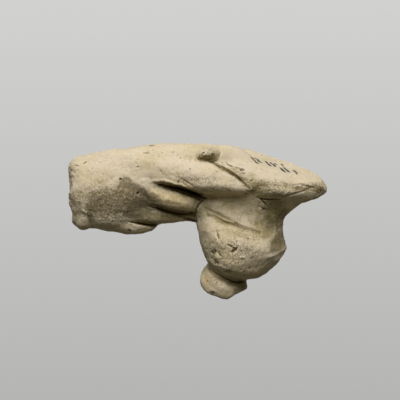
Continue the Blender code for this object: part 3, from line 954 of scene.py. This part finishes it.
# How far a pattern breaks up the edges of the dirt and painted shade, the sheltered places, the stain and the
# marks.
SOIL_AND_SHADE_RAGGED, SHELTER_RAGGED, MARKS_RAGGED = 0.6, 0.3, 0.8
STAIN_RAGGED, STAIN_GRAINY = 0.3, 0.5

# The dirt on speckled clay, and the amounts of dirt and painted shade and of marks at which their patterns
# show in full.
DIRT_ON_SPECKLED = 0.25
MOTTLED_FULLY, MARKED_FULLY = 0.5, 0.2

# Specks: the amount at which clay is fully speckled, its blots and the least in them, and the shares of
# specks on speckled clay and on all clay.
SPECKLED_FULLY = 0.5
SPECKLED_BLOTS, SPECKLED_LEAST = 1.2, 0.3
SPECKS_THERE, SPECKS_ALL_OVER = 0.75, 0.05

# Flecks: their spacing, core and edge, the part of the drift that has them, their share there, and how
# strongly they cover.
FLECKS = (2.3, 0.085, 0.204)
FLECKS_DRIFT = (0.4, 0.6)
FLECKS_SHARE = 0.5
FLECKS_STRENGTH = 0.6

# The grain's light and dark, and the clay's roughness, its lessening on the grain, and its gloss.
GRAIN_CONTRAST = 0.36
CLAY_ROUGHNESS, GRAIN_SMOOTHNESS = 0.95, 0.12
CLAY_GLOSS = 0.25

# The fine relief: its depth and strength, the shares of grain and unevenness in it, how far specks and flecks
# sink, and the share of it that only speckled clay has.
RELIEF_DEPTH, RELIEF_STRENGTH = 0.26, 0.9
GRAIN_RELIEF, UNEVEN_RELIEF = 0.6, 0.4
SPECKS_SINK, FLECKS_SINK = 0.3, 0.4
SPECKLED_RELIEF = 0.5


class Clay(Shader):
    """The clay's material, which is built up in layers of colour."""

    def __init__(self, name):
        super().__init__(name)
        self.colour = CREAM

    def lay(self, layer, pattern, where=1.0):
        """Lays a colour on where its pattern rises, and gives back where that is."""
        tint, start, full, strength = LAYERS[layer]
        share = pattern.between(start, full) * where
        self.colour = self.mix(self.colour, tint, share * strength)
        return share

    def strokes(self, row):
        """A row of slanting ink strokes that don't quite line up, on the front only."""
        first_x, first_y, last_x, last_y, count, height = row
        start, end = metres(first_x, first_y) / MM, metres(last_x, last_y) / MM
        height = height * PIXEL
        way, length = (end - start).normalized(), (end - start).length
        x, y, z = self.axes()
        x, y = x - start.x, y - start.y
        (wave_along, waver_along), (wave_across, waver_across) = INK_WAVER_ALONG, INK_WAVER_ACROSS
        along = (x * way.x + y * way.y).ragged(self.noise(wave_along), waver_along)
        up = (y * way.x - x * way.y).ragged(self.noise(wave_across), waver_across)

        spacing = length / count
        place = (along + up * INK_LEAN) / spacing
        cell = self.math("FLOOR", place)
        chance = self.value("ShaderNodeTexWhiteNoise", {"noise_dimensions": "1D"}, {"W": cell})
        middle = cell + (0.5 - INK_SHIFT_ALONG / 2) + chance * INK_SHIFT_ALONG
        aside = abs((place - middle) * (spacing / math.hypot(1, INK_LEAN)))
        reach = abs(up.ragged(chance, height * INK_SHIFT_ACROSS))

        sides = 1.0 - aside.between(*(INK_WIDTH * share for share in INK_SIDES))
        tips = 1.0 - reach.between(*(height * share for share in INK_TIPS))
        inside = along.between(-INK_OUTSIDE, INK_INSIDE)
        inside = inside * (1.0 - along.between(length - INK_INSIDE, length + INK_OUTSIDE))
        return sides * tips * inside * z.between(*INK_HEIGHTS)


def clay_material():
    """Pale, grainy, unglazed clay with stains, soil and painted shade in its hollows and sheltered places,
    dark specks and rubbed edges.
    """
    clay = Clay("fired_clay")
    grain, blots, drift = clay.noise(*GRAIN), clay.noise(*BLOTS), clay.noise(*DRIFT)
    clay.lay("buff drift", drift)
    clay.lay("tan", blots, clay.stored("tan"))
    clay.lay("pale blots", blots)

    # Dirt mixed with painted shade, from its ellipses and from speckled clay.
    soil_and_shade = clay.stored("grime_and_shade") + clay.stored("speckled") * DIRT_ON_SPECKLED
    soil_and_shade = soil_and_shade.ragged(blots, SOIL_AND_SHADE_RAGGED)
    clay.lay("soil_and_shade", soil_and_shade)
    # Painted shade mixed with dirt where rays from the clay soon meet it again.
    clay.lay("soil and painted shade in sheltered places", clay.stored("shelter").ragged(blots, SHELTER_RAGGED))
    clay.lay("mottled soil and shade", clay.noise(*MOTTLE), soil_and_shade.between(0.0, MOTTLED_FULLY))

    stain = clay.stored("stain").ragged(blots, STAIN_RAGGED).ragged(grain, STAIN_GRAINY)
    stained = clay.lay("stain", stain)
    clay.lay("dark grains in the stain", grain, stained)
    clay.lay("soiled blots on the stain", blots, stained)

    # Earth mixed with painted shade in the hollows.
    fine_hollow = clay.stored("fine_hollow")
    clay.lay("earth and painted shade in hollows", clay.stored("hollow"))
    clay.lay("earth and painted shade in fine hollows", fine_hollow)
    clay.lay("worn edges", 0.0 - fine_hollow)

    speckle = clay.noise(*SPECKLE)
    speckled = clay.stored("speckled").between(0.0, SPECKLED_FULLY)
    speckled = speckled * (blots * SPECKLED_BLOTS + SPECKLED_LEAST)
    specks = clay.lay("specks", speckle, speckled * SPECKS_THERE + SPECKS_ALL_OVER)
    clay.lay("pale specks", 1.0 - speckle, speckled)
    marks = clay.stored("marks")
    clay.lay("marks", marks.ragged(speckle, MARKS_RAGGED), marks.between(0.0, MARKED_FULLY))
    flecks = clay.spots(*FLECKS) * (drift.between(*FLECKS_DRIFT) * FLECKS_SHARE + speckled)
    clay.colour = clay.mix(clay.colour, EARTH_AND_SHADE, flecks * FLECKS_STRENGTH)

    clay.lay("ink wash", grain, clay.stored("ink_wash"))
    for row in INK_ROWS:
        clay.lay("ink", grain, clay.strokes(row))

    shade = clay.grey(grain * GRAIN_CONTRAST + (1.0 - GRAIN_CONTRAST / 2))
    colour = clay.mix(clay.colour, shade, 1.0, "MULTIPLY")
    relief = grain * GRAIN_RELIEF + clay.noise(*UNEVEN) * UNEVEN_RELIEF
    relief = relief * (speckled * SPECKLED_RELIEF + (1.0 - SPECKLED_RELIEF))
    relief = relief - specks * SPECKS_SINK - flecks * FLECKS_SINK
    bump = {"Height": relief, "Strength": RELIEF_STRENGTH, "Distance": RELIEF_DEPTH * MM}
    surface = {
        "Base Color": colour,
        "Roughness": CLAY_ROUGHNESS - grain * GRAIN_SMOOTHNESS,
        "Specular IOR Level": CLAY_GLOSS,
        "Normal": clay.node("ShaderNodeBump", None, bump).outputs[0],
    }
    return clay.finish(surface)


# The backdrop's shade at the bottom and at the top of the picture, its blue, and the floor's size in metres.
BACKDROP_LOW, BACKDROP_HIGH = 0.462, 0.640
BACKDROP_BLUE = 0.985
FLOOR_SIZE = 4.0
BLACK = (0.0, 0.0, 0.0, 1.0)

# The main light: its place in metres, the pixel and height that it points at, its size, power and colour.
KEY_PLACE = Vector((-0.03, 0.33, 0.27))
KEY_TARGET = (197, 215, 10)
KEY_SIZE = 0.34
KEY_POWER = 2.2
KEY_COLOUR = (1.0, 0.985, 0.97)

# The warm light that comes from all sides.
FILL_COLOUR = (1.0, 0.92, 0.60, 1.0)
FILL_STRENGTH = 0.085

# The camera's lens and sensor, the height at which the photograph's scale holds, and how far it sees.
LENS = 250.0
SENSOR = 36.0
SCALE_HEIGHT = 10
NEAREST, FARTHEST = 0.01, 100


def backdrop_material():
    """An even glow that is a little darker at the bottom of the picture."""
    backdrop = Shader("backdrop")
    low, high = (ORIGIN_Y - PICTURE_SIZE) * PIXEL, ORIGIN_Y * PIXEL
    share = (backdrop.axes()[1] - low) / (high - low)
    share = backdrop.math("MINIMUM", backdrop.math("MAXIMUM", share, 0.0), 1.0)
    surface = {
        "Base Color": BLACK,
        "Roughness": 1.0,
        "Specular IOR Level": 0.0,
        "Emission Color": backdrop.grey(share * (BACKDROP_HIGH - BACKDROP_LOW) + BACKDROP_LOW, BACKDROP_BLUE),
        "Emission Strength": 1.0,
    }
    return backdrop.finish(surface)


def floor():
    bpy.ops.mesh.primitive_plane_add(size=FLOOR_SIZE)
    made = bpy.context.object
    made.name = "floor"
    made.data.materials.append(backdrop_material())
    made.visible_diffuse = False


def key_light():
    """One large soft light above the top of the picture."""
    bpy.ops.object.light_add(type="AREA", location=KEY_PLACE)
    made = bpy.context.object
    made.name = "key light"
    made.data.size = KEY_SIZE
    made.data.energy = KEY_POWER
    made.data.color = KEY_COLOUR
    made.rotation_mode = "QUATERNION"
    made.rotation_quaternion = (metres(*KEY_TARGET) - KEY_PLACE).to_track_quat("-Z", "Y")
    made.visible_camera = False


def surroundings():
    """The fill light, and behind the floor the same shade as at the top of the backdrop."""
    world = bpy.data.worlds.new("studio")
    world.use_nodes = True
    nodes = Nodes(world.node_tree)
    fill = world.node_tree.nodes["Background"]
    nodes.put(fill.inputs["Color"], FILL_COLOUR)
    nodes.put(fill.inputs["Strength"], FILL_STRENGTH)
    shade = (BACKDROP_HIGH, BACKDROP_HIGH, BACKDROP_HIGH, 1.0)
    seen = nodes.node("ShaderNodeBackground", None, {"Color": shade})
    straight = nodes.node("ShaderNodeLightPath").outputs["Is Camera Ray"]
    blend = nodes.node("ShaderNodeMixShader", None, {0: straight, 1: fill.outputs[0], 2: seen.outputs[0]})
    nodes.put(world.node_tree.nodes["World Output"].inputs["Surface"], blend.outputs[0])
    bpy.context.scene.world = world
    bpy.context.scene.view_settings.view_transform = "Standard"


def camera():
    """A camera that looks straight down and takes in the photograph's width."""
    centre = metres(PICTURE_SIZE / 2, PICTURE_SIZE / 2, SCALE_HEIGHT)
    distance = PICTURE_SIZE * PIXEL * MM * LENS / SENSOR
    bpy.ops.object.camera_add(location=centre + Vector((0, 0, distance)), rotation=(0, 0, 0))
    made = bpy.context.object
    made.name = "camera"
    made.data.sensor_width = SENSOR
    made.data.lens = LENS
    made.data.clip_start = distance * NEAREST
    made.data.clip_end = distance * FARTHEST
    bpy.context.scene.camera = made


piece = fine_skin()
piece.data.materials.append(clay_material())
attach(piece, "root")
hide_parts("hand_with_jug")
floor()
key_light()
surroundings()
camera()
